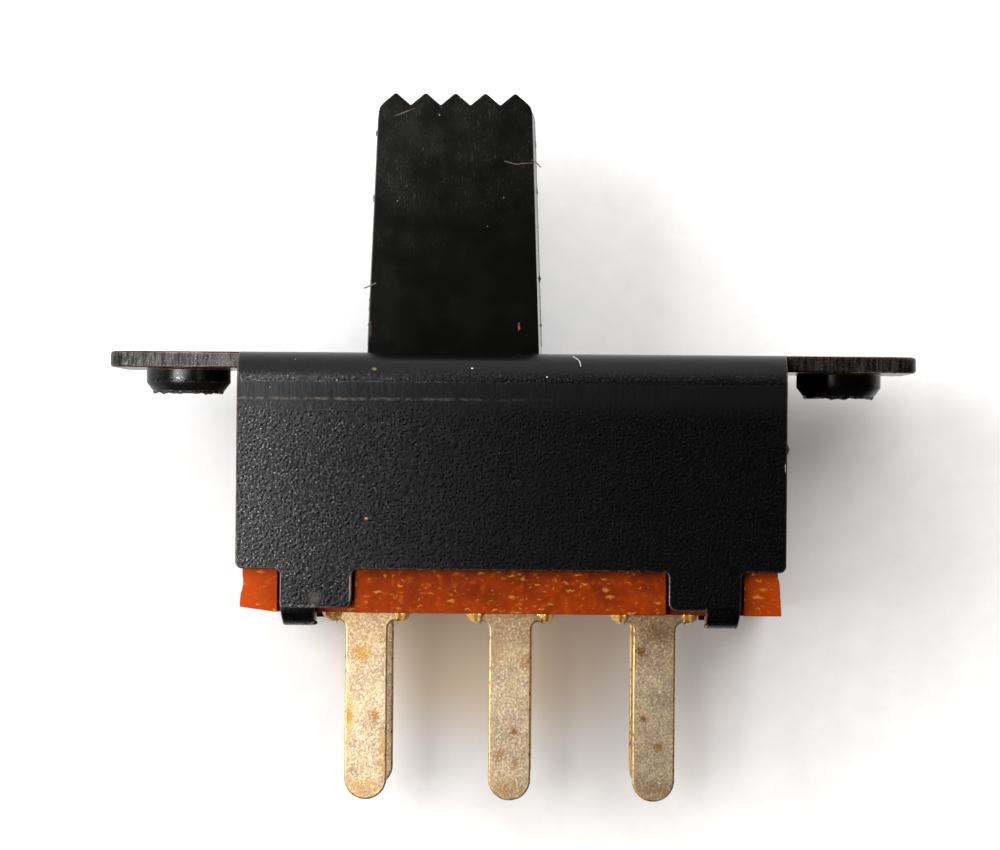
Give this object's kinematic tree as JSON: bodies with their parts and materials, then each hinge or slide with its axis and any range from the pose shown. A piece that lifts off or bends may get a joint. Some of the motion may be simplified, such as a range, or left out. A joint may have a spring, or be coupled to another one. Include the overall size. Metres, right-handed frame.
{
  "type": "slide switch",
  "caption": "Panel-mounted slide switch: black folded steel frame with tapped screw ears, toothed black handle, phenolic base and flat solder terminals.",
  "frame": {"origin": "on the mounting face (outer face of the ears and top plate), midway between the two screw holes", "axes": "+X along the slide from the stored position to the other one, +Z out of the mounting face through the handle, +Y across the switch to the rear terminal row"},
  "size_m": [0.0348, 0.0116, 0.0306],
  "materials": {
    "black_coated_steel": "satin black coating with fine texture, worn at the edges",
    "black_plastic": "moulded satin, scratched",
    "phenolic": "matt, with pale flecks of filler",
    "tinned_brass": "tarnished tin plating over brass",
    "contact_bronze": "bright rolled strip",
    "spring_steel": "drawn wire"
  },
  "bodies": {
    "housing": {"frame": "black_coated_steel", "base": "phenolic", "terminal_front_left": "tinned_brass", "terminal_front_centre": "tinned_brass", "terminal_front_right": "tinned_brass", "terminal_rear_left": "tinned_brass", "terminal_rear_centre": "tinned_brass", "terminal_rear_right": "tinned_brass"},
    "sliding": {"slider": "black_plastic", "contact_bridge_front": "contact_bronze", "contact_bridge_rear": "contact_bronze", "contact_spring_front": "spring_steel", "contact_spring_rear": "spring_steel"}
  },
  "joints": [
    {"name": "handle_slide", "type": "slide", "parent": "housing", "child": "sliding", "axis": [1, 0, 0], "range_m": [0, 0.0052]}
  ]
}
